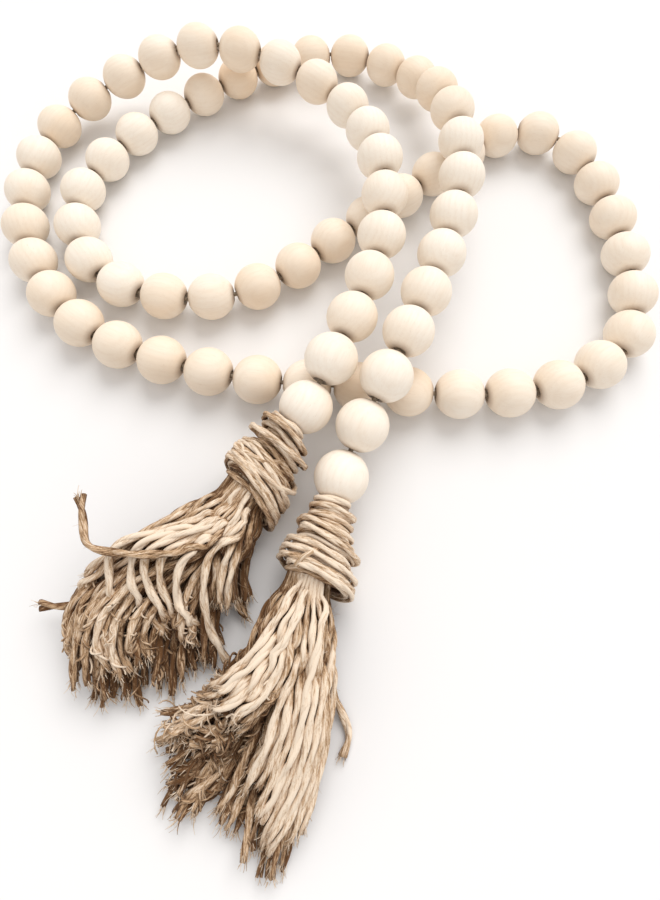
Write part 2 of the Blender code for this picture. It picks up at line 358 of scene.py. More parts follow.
# Faces of several equal grids of rings, one behind the other, each ring closed on itself. With
# loop, the last ring joins the first; without it, each end is closed by a fan round a point
def ringFaces(grids, rings, sides, loop=False):
    ring = np.arange(rings if loop else rings - 1)[:, None]
    side = np.arange(sides)[None, :]
    here, there = ring * sides, (ring + 1) % rings * sides
    nextSide = (side + 1) % sides
    corners = (here + side, here + nextSide, there + nextSide, there + side)
    quads = np.stack(corners, axis=-1).reshape(-1, 4)
    if loop:
        shift = np.arange(grids)[:, None, None] * rings * sides
        return (quads + shift).reshape(-1, 4).tolist()
    first, last = rings * sides, rings * sides + 1
    side, nextSide, final = side[0], nextSide[0], (rings - 1) * sides
    startFan = np.stack([np.full(sides, first), nextSide, side], axis=-1)
    endFan = np.stack([np.full(sides, last), final + side, final + nextSide], axis=-1)
    shift = np.arange(grids)[:, None, None] * (rings * sides + 2)
    quads = (quads + shift).reshape(-1, 4).tolist()
    return quads + (np.vstack([startFan, endFan]) + shift).reshape(-1, 3).tolist()


# One mesh object with its attributes, riding on the garland and standing for its solids
def addPiece(name, points, faces, material, standsFor, attributes):
    mesh = bpy.data.meshes.new(name)
    mesh.from_pydata(points.reshape(-1, 3), [], faces)
    for key, values in attributes.items():
        isVector = values.shape[-1] == 3 and values.ndim > 1
        layer = mesh.attributes.new(key, "FLOAT_VECTOR" if isVector else "FLOAT", "POINT")
        layer.data.foreach_set("vector" if isVector else "value", values.astype(np.float32).ravel())
    mesh.shade_smooth()
    mesh.materials.append(material)
    piece = bpy.data.objects.new(name, mesh)
    bpy.context.collection.objects.link(piece)
    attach(piece, "root")
    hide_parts(*standsFor)


def addJutePiece(name, node, points, faces, places, tones):
    attributes = {"fibrePlace": places.reshape(-1, 3), "strandToneAndShade": tones.ravel()}
    addPiece(name, points, faces, jute, [node], attributes)


# Angles of the corners of a ring
def ringAngles(sides):
    return np.linspace(0, math.tau, sides, endpoint=False)


# Beads: a ball turned with a rounded lip at each mouth of its hole, in millimetres
beadShape = {
    "sides": 44,
    "ballSteps": 26,
    "flatRadius": 2.3,
    "lipStart": (-0.2, 0.02),  # outwards and upwards from the flat's edge
    "lipRadius": 1.9,
    "lipDrop": 0.22,
    "lipBend": 0.4,  # share of the drop at the lip's radius
    "holeRadius": 1.7,
    "holeDrop": 0.7,
    "oval": 0.006,  # how far a bead is from round
    "smaller": 0.012,  # how much smaller than the others it may be
    # painted shade in the grooves between the beads, darkest at each mouth of the hole
    "mouthShadeFrom": 0.80,  # share of the half length where the painted shade begins
    "mouthShadeShare": 0.85,
    "grainSpan": 60.0,  # how far apart the beads' grain is taken from
    "seed": 76,
    "tone": (0.10, 0.42),  # 0 is the pale wood, 1 the warm one
    "toneRuns": [  # the first and last bead of each run, and its tone: the wood's own, with painted shade on beads that lie in shade, such as 60 and 61
        (1, 2, 0.10), (3, 3, 0.28), (7, 9, 0.05), (10, 10, 0.55), (11, 11, 0.25), (12, 12, 0.66),
        (13, 15, 0.46), (16, 17, 0.64), (22, 27, 0.55), (29, 29, 0.60), (30, 30, 0.78),
        (31, 31, 0.26), (32, 33, 0.42), (38, 40, 0.42), (41, 42, 0.48), (47, 49, 0.62),
        (50, 51, 0.34), (52, 54, 0.12), (55, 58, 0.02), (59, 59, 0.50), (60, 61, 0.98),
        (62, 66, 0.62), (67, 67, 0.36), (68, 71, 0.03), (74, 75, 0.10), (76, 76, 0.0),
    ],
    "runSpread": 0.4,  # times the spread of the other beads
}


# Turned profile: an arc of the ball's circle from one flat to the other, then down the lip,
# through the hole and up the other lip, as (radius, height) points that close on themselves
def beadProfile(radius, shape):
    first = math.asin(shape["flatRadius"] / radius)
    turn = np.linspace(first, math.pi - first, shape["ballSteps"])
    ball = radius * np.stack([np.sin(turn), np.cos(turn)], axis=-1)
    top = ball[0, 1]
    lip = np.array(
        [
            (shape["flatRadius"] + shape["lipStart"][0], top + shape["lipStart"][1]),
            (shape["lipRadius"], top - shape["lipDrop"] * shape["lipBend"]),
            (shape["holeRadius"], top - shape["holeDrop"]),
        ]
    )
    return np.vstack([ball, lip * (1, -1), lip[::-1]])[::-1]


# Ball points: profile radius times cosine and sine of the angle round the hole, and its height,
# set on the bead's own frame. The grain is read at the same places before they are set
def makeBeads(lay, shape, centres, axes):
    chance = np.random.default_rng(shape["seed"])
    profile = beadProfile(lay["beadRadius"], shape)
    angle = ringAngles(shape["sides"])
    across, other = levelPair(-axes)
    count = len(centres)
    start = chance.uniform(0, math.tau, count)
    tone = chance.uniform(*shape["tone"], count)
    for first, last, value in shape["toneRuns"]:
        run = slice(first - 1, last)
        tone[run] = value + shape["runSpread"] * (tone[run] - np.mean(shape["tone"]))
    offset = chance.uniform(-1, 1, (count, 3)) * shape["grainSpan"]
    size = 1 - chance.uniform(0, shape["smaller"], count)
    bulge = 1 + shape["oval"] * np.cos(2 * (angle + start[:, None, None]))
    reach = profile[:, :1] * bulge * size[:, None, None]
    local = (reach * np.cos(angle), reach * np.sin(angle), profile[:, 1:])
    local = np.stack(np.broadcast_arrays(*local), axis=-1)
    place = centres[:, None, None] + mm * (
        local[..., :1] * across[:, None, None]
        + local[..., 1:2] * other[:, None, None]
        + local[..., 2:] * axes[:, None, None]
    )
    grain = local + offset[:, None, None]
    tones = np.broadcast_to(tone[:, None, None], local.shape[:3])
    # Painted shade: the wood darkens towards each mouth of the hole, where the beads meet
    fromMiddle, mouthShadeFrom = np.abs(profile[:, 1]) / lay["beadRadius"], shape["mouthShadeFrom"]
    mouthShades = rise(fromMiddle, mouthShadeFrom, 1 - mouthShadeFrom) ** 1.5 * shape["mouthShadeShare"]
    mouthShades = np.broadcast_to(mouthShades[None, :, None], (2, *local.shape[1:3]))
    faces = ringFaces(2, len(profile), len(angle), True)
    for first in range(0, count, 2):
        pair = slice(first, first + 2)
        names = f"{first + 1:02d}_{first + 2:02d}"
        attributes = {
            "grainPlace": grain[pair].reshape(-1, 3),
            "beadTone": tones[pair].ravel(),
            "mouthShadeShare": mouthShades.ravel(),
        }
        standsFor = ["beads_" + names]
        addPiece("woodBeads" + names, place[pair], faces, wood, standsFor, attributes)


makeBeads(garlandLay, beadShape, beadCentres, beadAxes)
print("beads: done")


# Two directions at each step of a path, square to it and to each other
def crossPaths(paths, sideways):
    forward = unit(np.gradient(paths, axis=1))
    across = unit(np.cross(forward, sideways))
    return across, np.cross(forward, across)


# Unit circle: the cosine of an angle along one direction and its sine along the other
def circle(angle, across, other):
    return np.cos(angle)[..., None] * across + np.sin(angle)[..., None] * other


# Tubes along paths: at each step a ring of points, the radius times a unit circle across the
# path. Ends are closed by a point
def carryRings(paths, radii, sides, sideways):
    across, other = crossPaths(paths, sideways)
    spokes = circle(ringAngles(sides), across[:, :, None], other[:, :, None])
    rings = paths[:, :, None] + radii[:, :, None, None] * spokes
    body = rings.reshape(len(paths), -1, 3)
    return np.concatenate([body, paths[:, :1], paths[:, -1:]], axis=1)


# Where each ring point lies in its strand, in millimetres: cosine and sine of its angle round
# the strand, turned a little along it as fibres are, and its length along the strand
def fibrePlaces(lengths, radius, sides, offsets, turnLength):
    angle = ringAngles(sides) + math.tau * lengths[..., None] / turnLength
    along = np.broadcast_to(lengths[..., None], angle.shape)
    places = np.stack([radius * np.cos(angle), radius * np.sin(angle), along], axis=-1)
    ends = np.zeros((len(lengths), 2, 3))
    ends[..., 2] = lengths[:, [0, -1]]
    body = places.reshape(len(lengths), -1, 3)
    return np.concatenate([body, ends], axis=1) + offsets[:, None]


# Length along each path, in millimetres
def pathLengths(paths):
    steps = np.linalg.norm(np.diff(paths, axis=1), axis=-1)
    return np.concatenate([np.zeros((len(paths), 1)), np.cumsum(steps, axis=1)], axis=1) / mm


# Paths kept at least so far above the table
def keepUp(paths, least):
    paths[..., 2] = np.maximum(paths[..., 2], least)


# Twine, in millimetres
twine = {
    "radius": 1.10,  # of the whole strand
    "plyRadius": 0.76,
    "plyOffset": 0.36,
    "turnLength": 20.0,
    "fibreTurn": 16.0,
    "fibreSpan": 200.0,  # how far apart the strands' fibres are taken from
    "sides": 6,
    "innerShade": 0.52,  # painted shade: how much darker the strand is where it faces inwards
    "innerShadeFrom": 0.45,
}


def fibreOffsets(chance, count):
    return chance.uniform(-twine["fibreSpan"], twine["fibreSpan"], (count, 3))


# Two plies: each ply's path turns round the strand's own path like a screw, half a turn from
# the other ply, and the plies part where the strand is opened. None is below the table
def twistTwine(paths, sideways, chance, thick, opened):
    lengths = pathLengths(paths)
    across, other = crossPaths(paths, sideways)
    begin = chance.uniform(0, math.tau, (len(paths), 1))
    angle = begin + math.tau * lengths / twine["turnLength"]
    apart = (twine["plyOffset"] * mm * thick * opened)[..., None]
    plies = [paths + apart * circle(angle + half, across, other) for half in (0, math.pi)]
    for ply in plies:
        keepUp(ply, twine["plyRadius"] * mm * thick)
    return np.concatenate(plies), np.concatenate([lengths, lengths])


# One piece of twine strands: rings round every ply, with a tone for each strand. The tone falls, as
# painted shade, from the strand's outer side to its inner one, by the height of the ring points
# over its middle
def addTwine(name, node, paths, sideways, outward, tones, chance, thick, opened=1.0):
    thick = np.broadcast_to(thick, paths.shape[:2])
    plies, lengths = twistTwine(paths, sideways, chance, thick, opened)
    count, steps = plies.shape[:2]
    sides = twine["sides"]
    middle, sideways, outward, tones, thick = (  # once for each ply
        np.concatenate([values, values]) for values in (paths, sideways, outward, tones, thick)
    )
    points = carryRings(plies, twine["plyRadius"] * mm * thick, sides, sideways)
    offsets = fibreOffsets(chance, count)
    places = fibrePlaces(lengths, twine["plyRadius"], sides, offsets, twine["fibreTurn"])
    body = points[:, : steps * sides].reshape(count, steps, sides, 3)
    # Painted shade: the side of each strand that faces away from the outward direction is darker
    height = ((body - middle[:, :, None]) * outward[:, :, None]).sum(axis=-1)
    inside = twine["innerShadeFrom"] - height / (twine["radius"] * mm * thick)[..., None]
    ringTones = tones[..., None] - twine["innerShade"] * np.clip(inside, 0, 1)
    ringTones = ringTones.reshape(count, steps * sides)
    tones = np.concatenate([ringTones, tones[:, :1], tones[:, -1:]], axis=1)
    addJutePiece(name, node, points, ringFaces(count, steps, sides), places, tones)


# String through the holes, bent only between the beads
stringShape = {
    "radius": 0.75,
    "sides": 8,
    "stepsPerBead": 6,
    "turnLength": 4.0,
    "intoHead": 0.5,
}


def makeString(lay, shape, centres, axes, steps):
    half = lay["beadHalfLength"] * mm
    ends = half + (lay["headGap"] + shape["intoHead"]) * mm
    joints = (centres[:-1] + axes[:-1] * half + centres[1:] - axes[1:] * half) / 2
    route = np.vstack([centres[0] - steps[0] * ends, joints, centres[-1] + steps[1] * ends])
    share = (np.arange(shape["stepsPerBead"]) / shape["stepsPerBead"])[:, None, None]
    line = (route[:-1] + (route[1:] - route[:-1]) * share).transpose(1, 0, 2).reshape(-1, 3)
    paths = np.vstack([line, route[-1:]])[None]
    radii = np.full(paths.shape[:2], shape["radius"] * mm)
    sides, offset = shape["sides"], np.zeros((1, 3))
    points = carryRings(paths, radii, sides, up)
    places = fibrePlaces(pathLengths(paths), shape["radius"], sides, offset, shape["turnLength"])
    faces = ringFaces(1, paths.shape[1], sides)
    attributes = {"fibrePlace": places.reshape(-1, 3)}
    addPiece("beadString", points, faces, cotton, ["string"], attributes)


makeString(garlandLay, stringShape, beadCentres, beadAxes, endSteps)
print("string: done")


# Heads: a bundle of folded strands, thin at the bead and full at the neck, in millimetres
headShape = {
    "length": garlandLay["headLength"],
    "neckRadius": 8.3,
    "topShare": 0.42,
    "swellShare": 0.75,
    "coreStart": 0.3,
    "coreEnd": 16.5,
    "ridges": 13,
    "ridgeDepth": 0.10,
    "ridgeTurn": 0.04,
    # painted shade: the core's tone, dark as the shade seen in the gaps between the windings
    "ridgeShadeTone": 0.18,
    "endShadeTone": 0.1,
    "fibreRadius": 8.0,
    "sides": 78,
    "steps": 28,
}


# Radius of a head: a quarter of a sine wave from the top's share of the neck to the whole of it
def headRadius(depth):
    top = headShape["topShare"]
    share = rise(depth, 0, headShape["swellShare"] * headShape["length"])
    return headShape["neckRadius"] * (top + (1 - top) * np.sin(math.pi / 2 * share))


# Axes of a head: sideways, upward and along it towards the strands, from its top at the bead
def headFrame(centre, towardsBead):
    along = -towardsBead
    across, upward = levelPair(towardsBead)
    top = centre + along * (garlandLay["beadHalfLength"] + garlandLay["headGap"]) * mm
    return {"top": top, "along": along, "across": across, "upward": upward}


# Places in a head, from the millimetres sideways, upward and along it
def inHead(head, sideways, upward, depth):
    place = head["top"]
    for distance, axis in ((sideways, "across"), (upward, "upward"), (depth, "along")):
        place = place + mm * np.asarray(distance)[..., None] * head[axis]
    return place


heads = {
    "left": headFrame(beadCentres[0], endSteps[0]),
    "right": headFrame(beadCentres[-1], -endSteps[1]),
}


# Core of a head: its radius at each depth, raised into a ridge for each strand that runs down it.
# Its tone is a dark painted shade, for the gaps between the windings, darkest in the grooves
# between the ridges
def makeCore(side, head):
    shape = headShape
    depth = np.linspace(shape["coreStart"], shape["coreEnd"], shape["steps"])[:, None]
    angle = ringAngles(shape["sides"])
    ridge = np.abs(np.sin(angle * shape["ridges"] + shape["ridgeTurn"] * depth))
    radius = headRadius(depth) * (1 - shape["ridgeDepth"] * (1 - ridge))
    rings = inHead(head, radius * np.cos(angle), radius * np.sin(angle), depth)
    ends = inHead(head, 0, 0, depth[[0, -1], 0])
    points = np.concatenate([rings.reshape(-1, 3), ends])
    reach = shape["fibreRadius"]
    places = np.broadcast_arrays(reach * np.cos(angle), reach * np.sin(angle), depth)
    places = np.concatenate([np.stack(places, axis=-1).reshape(-1, 3), np.zeros((2, 3))])
    tones = np.append(shape["ridgeShadeTone"] * ridge, [shape["endShadeTone"]] * 2)
    faces = ringFaces(1, shape["steps"], shape["sides"])
    addJutePiece(side + "TasselCore", f"tassel_{side}", points, faces, places, tones)


# Windings of twine round the heads, from the bead to the neck. Each layer has its turns, the
# depths it starts and ends at, how far it stands off the head, how far its turns lean towards the
# bead at its start and end, where they lean most and how far they bulge there (0 is sideways
# and 90 on top, in degrees round the head). Loose ends are points in the garland's own frame
layerColumns = ("turns", "from", "to", "off", "leanFrom", "leanTo", "towards", "bulge")
windings = {
    "left": {
        "seed": 21,
        "tone": 0.63,
        "layers": [
            (8.0, 1.6, 22.0, 0.95, 2.0, 5.5, 120, 0.0),
            (5.2, 12.5, 22.5, 2.7, 5.4, 6.4, 124, 0.4),
            (2.8, -1.0, 5.4, 2.3, 2.4, 4.0, 125, 1.2),
            (1.6, 1.5, 6.5, 3.9, 3.6, 2.0, 120, 1.8),
            (1.8, 9.0, 16.0, 2.9, -3.0, 6.0, 160, 0.4),
            (9.4, 2.2, 21.5, 0.0, 1.5, 3.0, 120, 0.0),
        ],
        "looseEnds": [],
    },
    "right": {
        "seed": 22,
        "tone": 0.75,
        "layers": [
            (7.2, 1.6, 20.8, 0.95, 1.4, 3.6, 130, 0.0),
            (2.6, 0.6, 4.6, 0.6, 0.8, 1.6, 130, 0.0),
            (1.8, -0.8, 3.2, 1.9, 1.0, 2.0, 125, 0.4),
            (1.4, 8.4, 11.5, 2.4, 3.4, 3.8, 140, 0.6),
            (3.4, 14.5, 21.5, 2.7, 3.6, 4.0, 130, 0.4),
            (9.4, 1.6, 21.0, 0.0, 1.0, 2.4, 130, 0.0),
        ],
        "looseEnds": [
            [(1.5, -70, 20.5), (-0.5, -71.5, 22.8), (-2.8, -73.0, 23.2), (-4.6, -75, 21.6)],
        ],
    },
}
windingShape = {
    "step": 1.15,  # millimetres between the rings, on a circle of the reach
    "reach": 10.5,
    "thick": 0.90,  # times the twine
    "begin": 2.0,  # radians before the place where it leans most
    "depthSpeeds": (0.37, 0.83),  # waves for each radian
    "depthWave": 0.3,
    "secondWave": 0.6,
    "radiusSpeed": 1.3,
    "radiusWave": 0.18,
    "least": -2.0,  # millimetres over the head's top
    "past": 1.5,  # millimetres past its neck
    "tuckTurn": 0.7,  # radians in which its ends come up from the head
    "clearOfBead": 1.35,
    "looseSteps": 5,
    "toneWave": 0.20,
    "toneSpeed": 0.045,
    "toneShift": 2.4,
    "underShade": 0.42,  # painted shade: how much darker a layer right on the head is, under the layers over it
    "underOff": 0.9,  # the stand-off from which a layer is no darker
}


# A layer's path: a screw round the head whose depth swings once a turn by its lean, and whose
# radius is the head's plus the stand-off and the bulge, with slow random waves in both. It stays
# outside the bead's circle at that depth, and above the table
def windingPath(head, layer, chance):
    shape = windingShape
    steps = int(math.tau * shape["reach"] * layer["turns"] / shape["step"])
    share = np.linspace(0, 1, steps)
    towards = math.radians(layer["towards"])
    angle = math.tau * layer["turns"] * share + towards - shape["begin"]
    begin = chance.uniform(0, math.tau, 3)
    slow, fast = (np.sin(angle * speed + b) for speed, b in zip(shape["depthSpeeds"], begin))
    wave = slow + shape["secondWave"] * fast
    swing = np.cos(angle - towards)
    lean = layer["leanFrom"] + (layer["leanTo"] - layer["leanFrom"]) * share
    depth = layer["from"] + (layer["to"] - layer["from"]) * share - lean * swing
    depth = depth + shape["depthWave"] * wave
    depth = np.clip(depth, shape["least"], headShape["length"] + shape["past"])
    fromEnd = np.minimum(share, 1 - share) * math.tau * layer["turns"]
    radius = headRadius(depth) + layer["off"] * rise(fromEnd, 0, shape["tuckTurn"])
    radius = radius + shape["radiusWave"] * np.sin(angle * shape["radiusSpeed"] + begin[2])
    radius = radius + layer["bulge"] * np.clip(swing, 0, 1) ** 2
    fromBead = depth + garlandLay["beadHalfLength"] + garlandLay["headGap"]
    beadReach = np.sqrt(np.clip(garlandLay["beadRadius"] ** 2 - fromBead**2, 0, None))
    radius = np.maximum(radius, np.where(beadReach > 0, beadReach + shape["clearOfBead"], 0))
    path = inHead(head, radius * np.cos(angle), radius * np.sin(angle), depth)
    keepUp(path, twine["radius"] * mm)
    return path


# The tone is a slow wave along each winding, with painted shade on the layers that lie on the head
def makeWindings(side, head):
    winding, shape = windings[side], windingShape
    chance = np.random.default_rng(winding["seed"])
    layers = [dict(zip(layerColumns, row)) for row in winding["layers"]]
    routes = [windingPath(head, layer, chance) for layer in layers]
    offs = [layer["off"] for layer in layers]
    for points in winding["looseEnds"]:
        routes.append(smoothCurves(np.array([points]) * mm, shape["looseSteps"])[0])
        offs.append(shape["underOff"])
    for number, (route, off) in enumerate(zip(routes, offs), 1):
        away = route - head["top"]
        radial = unit(away - (away @ head["along"])[:, None] * head["along"])[None]
        wave = np.arange(len(route)) * shape["toneSpeed"] + shape["toneShift"] * number
        # Painted shade on the layers that lie under the others
        under = shape["underShade"] * max(1 - off / shape["underOff"], 0)
        tones = (winding["tone"] + shape["toneWave"] * np.sin(wave) - under)[None]
        name, node = f"{side}Winding{number}", f"binding_{side}"
        addTwine(name, node, route[None], radial, radial, tones, chance, shape["thick"])


# Skirts: strands leave the neck in locks. Each lock has a place that it passes and the place of its
# tips, in millimetres, its strands, how far they spread, their tone and their tips' curl. Tones are
# the jute's own with painted light and shade: low locks under the skirt are darker, strands on top
# paler. Lone strands have their tone and the places that they pass
skirts = {
    "left": {
        "seed": 5,
        "locks": [
            ((-43, -65, 17), (-62, -77, 10), 5, 5.2, 0.76, 0.6),
            ((-55, -75, 12), (-65, -95, 4), 7, 3.8, 0.50, 1.3),
            ((-53, -78, 14), (-61, -103, 5), 7, 3.8, 0.56, 1.6),
            ((-49, -79, 10), (-57, -107, 3), 7, 4.0, 0.42, 1.5),
            ((-47, -78, 15), (-53, -101, 9), 6, 3.6, 0.62, 1.6),
            ((-43, -80, 8), (-50, -107, 2.5), 6, 4.0, 0.32, 1.6),
            ((-41, -80, 13), (-46, -97, 8), 6, 3.6, 0.54, 1.6),
            ((-37, -79, 8), (-42, -104, 2.5), 6, 3.6, 0.30, 1.4),
            ((-33, -78, 6), (-35, -101, 2.5), 6, 3.6, 0.28, 1.4),
            ((-33, -79, 12), (-34, -93, 7), 5, 2.8, 0.62, 1.6),
            ((-28, -76, 9), (-28, -97, 3.5), 6, 3.0, 0.40, 1.2),
            ((-23.5, -70, 15), (-25, -86, 9), 6, 2.2, 0.84, 0.4),
            ((-22, -70, 6), (-20.5, -85, 2.5), 5, 2.4, 0.42, 0.8),
        ],
        "lone": [
            (0.36, [
                (-24, -62, 17), (-28, -68, 20), (-35, -71, 22), (-43, -72.5, 23.5),
                (-52, -72, 24), (-58, -71, 24), (-60.5, -69.5, 24), (-61, -66, 24),
                (-62, -62, 24), (-63.5, -57, 24),
            ]),
            (0.40, [
                (-25, -62, 9), (-44, -69, 9.5), (-56, -79, 9.6), (-64, -84, 9.4), (-76, -84, 8.5),
            ]),
            (0.88, [
                (-25, -61, 17), (-38, -65, 20.5), (-49, -68, 22), (-54, -71, 21.5),
                (-54.5, -76, 19.5), (-53, -82, 16), (-50, -88, 11), (-48, -91, 9),
            ]),
            (0.92, [
                (-25, -62, 17), (-35, -65.5, 21), (-43, -68, 22.5), (-47.5, -71, 22),
                (-48.5, -76, 20), (-47, -82, 16.5), (-43, -88, 11), (-41, -91, 9),
            ]),
            (0.90, [
                (-24, -62, 17), (-33, -66, 21), (-40, -68.5, 22.5), (-44, -71, 22), (-45, -76, 20),
                (-43, -82, 16), (-40, -88, 10),
            ]),
            (0.86, [
                (-24, -62, 17), (-31, -66.5, 20.5), (-36.5, -69.5, 22), (-40.5, -73, 21),
                (-41, -78, 18.5), (-39, -84, 14), (-36, -89, 9),
            ]),
            (0.90, [
                (-24, -63, 17), (-29, -68, 20.5), (-34, -72.5, 21), (-36.5, -78, 19),
                (-36, -84, 14.5), (-33, -90, 8),
            ]),
            (0.74, [
                (-26, -62, 16), (-43, -68, 17.5), (-56, -75, 16), (-63, -82, 12.5), (-62, -90, 9),
            ]),
            (0.92, [
                (-23, -63, 17), (-26.5, -68, 19.5), (-29, -75, 18.5), (-29.5, -83, 15),
                (-28, -91, 9), (-24, -98, 4.5),
            ]),
        ],
    },
    "right": {
        "seed": 9,
        "locks": [
            ((-12, -97, 18.5), (-25, -106.5, 14), 7, 2.8, 0.94, 0.3),
            ((-9, -100, 18.5), (-20, -112, 13), 6, 2.4, 0.86, 1.3),
            ((-17, -99, 12), (-38, -116, 8), 7, 3.8, 0.64, 2.8),
            ((-16, -102, 7), (-37, -123, 4), 6, 4.0, 0.48, 2.6),
            ((-14, -104, 10), (-29, -118, 11), 5, 3.2, 0.68, 2.8),
            ((-14, -106, 5), (-30, -131, 3), 6, 3.6, 0.46, 2.0),
            ((-11, -108, 8), (-21, -134, 3.5), 6, 3.0, 0.56, 1.3),
            ((-6, -106, 16), (-16, -127, 8), 5, 1.9, 0.90, 0.5),
            ((-3, -106, 15), (-12, -131, 6.5), 5, 1.9, 0.88, 0.5),
            ((0.5, -106, 14.5), (-11, -140, 4.5), 6, 2.1, 0.94, 0.4),
            ((2, -105, 12), (-5, -138, 4), 6, 2.1, 0.92, 0.4),
            ((-3, -108, 6), (-10, -144.5, 2.5), 6, 3.0, 0.50, 0.7),
            ((1, -104, 5), (-5, -132, 2.8), 5, 2.6, 0.50, 0.6),
            ((-9, -110, 6), (-16, -141, 3), 6, 2.8, 0.44, 1.5),
            ((-16, -107, 6), (-36, -131, 3.5), 6, 3.2, 0.36, 2.2),
        ],
        "lone": [
            (0.60, [
                (3, -84, 6), (4, -94, 5.5), (4.5, -104, 4), (7.5, -111, 2), (9.5, -116, 1.3),
                (7.5, -121, 1.3),
            ]),
            (0.94, [(-6, -85, 18), (-12, -94, 20), (-19, -100, 18.5), (-25, -104, 16)]),
            (0.92, [(-4, -85, 18), (-8, -94, 20), (-13, -102, 19.5), (-18, -109, 16)]),
            (0.94, [
                (1, -85, 18), (0, -97, 18.5), (-3, -112, 16.5), (-9, -126, 11), (-13, -133, 7),
            ]),
        ],
    },
}
skirtShape = {
    "strandSteps": 30,  # worked out before the paths are made finer
    "leadSteps": 4,  # before those, from inside the head to the neck
    "finer": 2,
    "rootDepth": 12.0,  # millimetres into the head
    "rootRadius": 7.5,
    "rootLead": 0.97,  # of the radius, at that depth
    "rootSpan": (4.5, 1.6),  # millimetres that a lock lies off for one of its roots
    "rootChance": 1.2,
    "rootApart": 1.55,
    "rootRounds": 40,
    "rootPush": 0.35,
    "turnChance": 0.6,  # radians
    "lengthChance": (-1, 0.6),
    "lengthSpread": 4.0,
    "spreadByPass": 0.6,  # share of the spread where a strand passes its lock's place
    "straightShare": 0.45,  # share of the way there that keeps to the head's direction
    "passShare": 0.55,  # how far along itself a strand passes its lock's place
    "wave": 0.55,
    "waveSpeed": (1.0, 2.2),
    "waveLift": 0.6,
    "curlRise": (0.55, 0.45),  # shares of the strand: where it starts, and over how much
    "curlSpeed": 2.2,
    "curlLift": 0.7,
    "loneRise": 5.5,  # millimetres over the head's middle
    "loneSteps": 16,
    "apart": 2.25,  # millimetres between strands, centre to centre, once they are pushed apart
    "leastSquare": 1e-12,
    "rounds": 16,
    "push": 0.3,
    "freeRise": (3.5, 7),  # steps
    "smooth": (0.5, 0.12),  # of each round, for the locks and for the lone strands
    "coverReach": 5.5,  # millimetres within which strands above a place shade it
    "coverRise": 0.2,  # of the reach, from which a strand counts as above
    "coverShade": 0.034,  # painted shade: how much darker each of them makes it
    "toneSpread": 0.14,
    "tipShade": 0.26,  # painted shade: how much darker the cut end is
    "endRise": (0.90, 0.10),
    "opened": (0.3, 1.8),  # how much further apart the plies are at the cut end
    "thick": 1.1,  # times the twine
    "neckThick": 0.66,
    "thickRise": (0.15, 0.25),
    "taper": 0.45,  # how much of its thickness a strand loses at its cut end
    "chordFrom": 12,
    "yarnStep": -8,  # the step whose tone the yarns take
}
tiny = 1e-9  # keeps a distance from being zero


# Places in a disc for the roots: drawn towards their locks, then pushed apart from each other
# and held inside the disc, a little each round
def spreadRoots(spots, shape):
    radius = shape["rootRadius"]
    least = shape["rootApart"] * radius / math.sqrt(len(spots))
    for _ in range(shape["rootRounds"]):
        between = spots[:, None] - spots[None]
        distance = np.linalg.norm(between, axis=-1) + tiny
        push = np.clip(least - distance, 0, None) / distance
        np.fill_diagonal(push, 0)
        spots = spots + shape["rootPush"] * (push[..., None] * between).sum(axis=1)
        reach = np.linalg.norm(spots, axis=1, keepdims=True)
        spots = spots * np.minimum(1, radius / np.maximum(reach, tiny))
    return spots


# Squares of the distances between all spots: both spots' squares less twice their product
def squareDistances(spots):
    square = (spots**2).sum(axis=1)
    return square[:, None] + square[None] - 2 * spots @ spots.T


# Strands of the same skirt pushed apart wherever two of them come nearer than they are thick:
# every step of every strand is set against every step of the others, and each strand is
# smoothed after each round. Their roots are held, and none goes below the table
def pushApart(paths, shape, smooth):
    count, steps = paths.shape[:2]
    owner = np.repeat(np.arange(count), steps)
    same = owner[:, None] == owner[None]
    free = rise(np.arange(steps), *shape["freeRise"])[:, None]
    for _ in range(shape["rounds"]):
        spots = paths.reshape(-1, 3).astype(np.float32)
        distance = np.sqrt(np.maximum(squareDistances(spots), shape["leastSquare"]))
        push = np.clip(shape["apart"] * mm - distance, 0, None) / distance
        push[same] = 0
        moved = (spots * push.sum(axis=1, keepdims=True) - push @ spots) * shape["push"]
        paths = paths + free * moved.reshape(paths.shape)
        inner = 0.5 * paths[:, 1:-1] + 0.25 * (paths[:, :-2] + paths[:, 2:])
        paths[:, 1:-1] = paths[:, 1:-1] + smooth * free[1:-1] * (inner - paths[:, 1:-1])
        keepUp(paths, twine["radius"] * mm * shape["thick"])
    return paths


# How many strand places lie over each place of each strand, nearer than the reach: they keep the
# light from it, and the count sets the painted shade there
def coverOver(paths, shape):
    spots = paths.reshape(-1, 3).astype(np.float32)
    reach = shape["coverReach"] * mm
    near = squareDistances(spots) < reach**2
    higher = spots[None, :, 2] > spots[:, None, 2] + shape["coverRise"] * reach
    return (near & higher).sum(axis=1).reshape(paths.shape[:2])


# Shares of a cubic curve's four control points at each place along it
def cubicShares(t):
    return (1 - t) ** 3, 3 * (1 - t) ** 2 * t, 3 * (1 - t) * t**2, t**3


